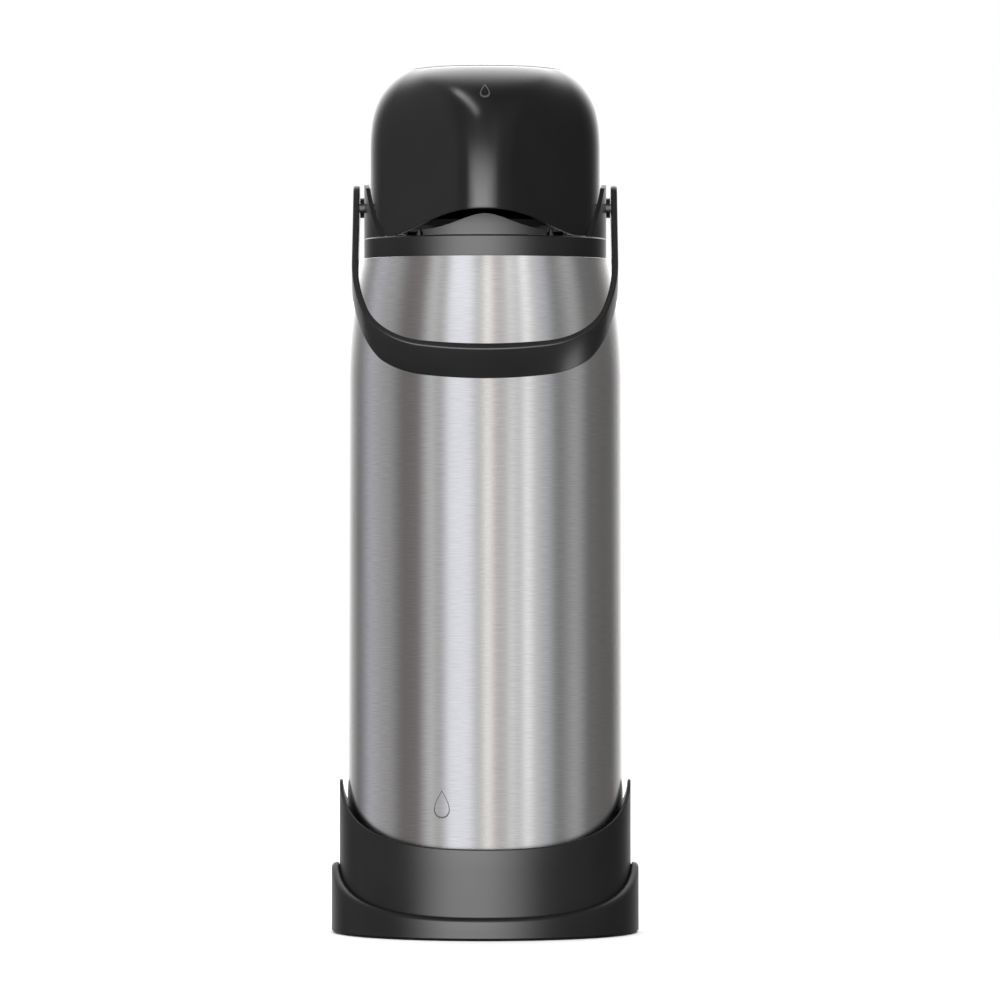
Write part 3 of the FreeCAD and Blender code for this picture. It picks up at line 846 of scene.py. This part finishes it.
def make_light():
    """A studio of tall soft panels in front, a white backdrop behind, and white to the eye."""
    world = bpy.data.worlds.new("studio")
    bpy.context.scene.world = world
    world.use_nodes = True
    nodes = world.node_tree.nodes
    links = world.node_tree.links
    nodes.clear()
    split = nodes.new("ShaderNodeSeparateXYZ")
    where = nodes.new("ShaderNodeTexCoord").outputs["Generated"]
    links.new(where, split.inputs["Vector"])
    toward = math_node(nodes, links, "MULTIPLY", split.outputs["Y"], -1.0)
    turn = math_node(nodes, links, "ARCTAN2", split.outputs["X"], toward)
    turn = math_node(nodes, links, "MULTIPLY_ADD", turn, 1 / (2 * math.pi))
    turn.node.inputs[2].default_value = 0.5
    panels = ramp_node(nodes, [((a + 180) / 360, level, tint) for a, level, tint in PANELS])
    links.new(turn, panels.inputs["Fac"])
    rise = math_node(nodes, links, "ARCSINE", split.outputs["Z"])
    rise = math_node(nodes, links, "MULTIPLY_ADD", rise, 1 / math.pi)
    rise.node.inputs[2].default_value = 0.5
    fades = ramp_node(nodes, [((a + 90) / 180, level, NEUTRAL) for a, level in FADES])
    links.new(rise, fades.inputs["Fac"])
    lit = nodes.new("ShaderNodeVectorMath")
    lit.operation = "MULTIPLY"
    links.new(panels.outputs["Color"], lit.inputs[0])
    links.new(fades.outputs["Color"], lit.inputs[1])
    total = lit.outputs["Vector"]
    total = add_disc(nodes, links, total, where, BACK_AIM, BACK_LIGHT, BACK_LEVEL)

    studio = nodes.new("ShaderNodeBackground")
    links.new(total, studio.inputs["Color"])
    seen = nodes.new("ShaderNodeBackground")
    seen.inputs["Color"].default_value = (1.0, 1.0, 1.0, 1.0)
    path = nodes.new("ShaderNodeLightPath")
    mix = nodes.new("ShaderNodeMixShader")
    links.new(path.outputs["Is Camera Ray"], mix.inputs["Fac"])
    links.new(studio.outputs["Background"], mix.inputs[1])
    links.new(seen.outputs["Background"], mix.inputs[2])
    output = nodes.new("ShaderNodeOutputWorld")
    links.new(mix.outputs["Shader"], output.inputs["Surface"])
    add_sky("overhead", SKY_POWER)


def add_box(name, place, turned, width, height, brightness, group):
    """A rectangular soft box of this radiance, seen only by the pieces of a group."""
    light = bpy.data.lights.new(name, "AREA")
    light.shape = "RECTANGLE"
    light.size = width
    light.size_y = height
    light.energy = brightness * math.pi * width * height
    lamp = bpy.data.objects.new(name, light)
    bpy.context.scene.collection.objects.link(lamp)
    lamp.location = place
    lamp.rotation_euler = turned
    lamp.visible_camera = False
    lamp.light_linking.receiver_collection = group


def light_black_pieces():
    """Soft boxes for the black plastic, which is too dark for the steel's panels alone."""
    blacks = {MATERIALS[name] for name in ("black_gloss", "black_satin", "base_satin", "black_rubber")}
    group = bpy.data.collections.new("black_pieces")
    glossy = bpy.data.collections.new("gloss_pieces")
    for piece in bpy.context.scene.objects:
        if piece.type == "MESH" and blacks & set(piece.data.materials):
            group.objects.link(piece)
        if piece.type == "MESH" and MATERIALS["black_gloss"] in set(piece.data.materials):
            glossy.objects.link(piece)
    strap = bpy.data.collections.new("strap_piece")
    strap.objects.link(bpy.data.objects["handle_strap"])
    for i, (middle, half, height, brightness) in enumerate(SOFT_BOXES):
        turn = math.radians(middle)
        place = (SOFT_BOX_DISTANCE * math.sin(turn), -SOFT_BOX_DISTANCE * math.cos(turn), SOFT_BOX_Z)
        width = 2 * SOFT_BOX_DISTANCE * math.tan(math.radians(half))
        add_box(f"soft_box_{i}", place, (math.pi / 2, 0, turn), width, height, brightness, group)
    for name, lamp, lit in (("roof_strip", ROOF_STRIP, glossy), ("corner_glow", CORNER_GLOW, strap)):
        place, turns, width, height, brightness = lamp
        add_box(name, place, [math.radians(a) for a in turns], width, height, brightness, lit)


def add_disc(nodes, links, total, where, aim, shares, level):
    """Add a soft round light to the studio, brightest in the aimed direction."""
    facing = nodes.new("ShaderNodeVectorMath")
    facing.operation = "DOT_PRODUCT"
    facing.inputs[1].default_value = aim
    links.new(where, facing.inputs[0])
    ramp = ramp_node(nodes, [(place, share, NEUTRAL) for place, share in shares])
    links.new(facing.outputs["Value"], ramp.inputs["Fac"])
    scaled = nodes.new("ShaderNodeVectorMath")
    scaled.operation = "SCALE"
    scaled.inputs["Scale"].default_value = level
    links.new(ramp.outputs["Color"], scaled.inputs[0])
    added = nodes.new("ShaderNodeVectorMath")
    added.operation = "ADD"
    links.new(total, added.inputs[0])
    links.new(scaled.outputs["Vector"], added.inputs[1])
    return added.outputs["Vector"]


def add_sky(name, power):
    """A very soft light from above that whitens the floor and leaves no mirror image."""
    light = bpy.data.lights.new(name, "SUN")
    light.energy = power
    light.angle = math.radians(120)
    lamp = bpy.data.objects.new(name, light)
    bpy.context.scene.collection.objects.link(lamp)
    lamp.rotation_euler = (math.radians(12), math.radians(-6), 0)
    lamp.visible_glossy = False


def make_camera():
    """A long lens, level with the middle of the object and straight in front."""
    data = bpy.data.cameras.new("camera")
    data.sensor_width = SENSOR
    data.lens = SENSOR * CAMERA_DISTANCE / VIEW_WIDTH
    data.clip_end = 50.0
    camera = bpy.data.objects.new("camera", data)
    bpy.context.scene.collection.objects.link(camera)
    camera.location = (CAMERA_X, -CAMERA_DISTANCE, CAMERA_Z)
    camera.rotation_euler = (math.pi / 2, 0, 0)
    bpy.context.scene.camera = camera


make_camera()
make_light()
make_floor()
bpy.context.scene.view_settings.view_transform = "Standard"

dress_nodes()
make_base()
make_steel_body()
make_handle()
make_head_cover()
make_marks()
light_black_pieces()
for piece in hidden_from_steel:
    piece.visible_glossy = False
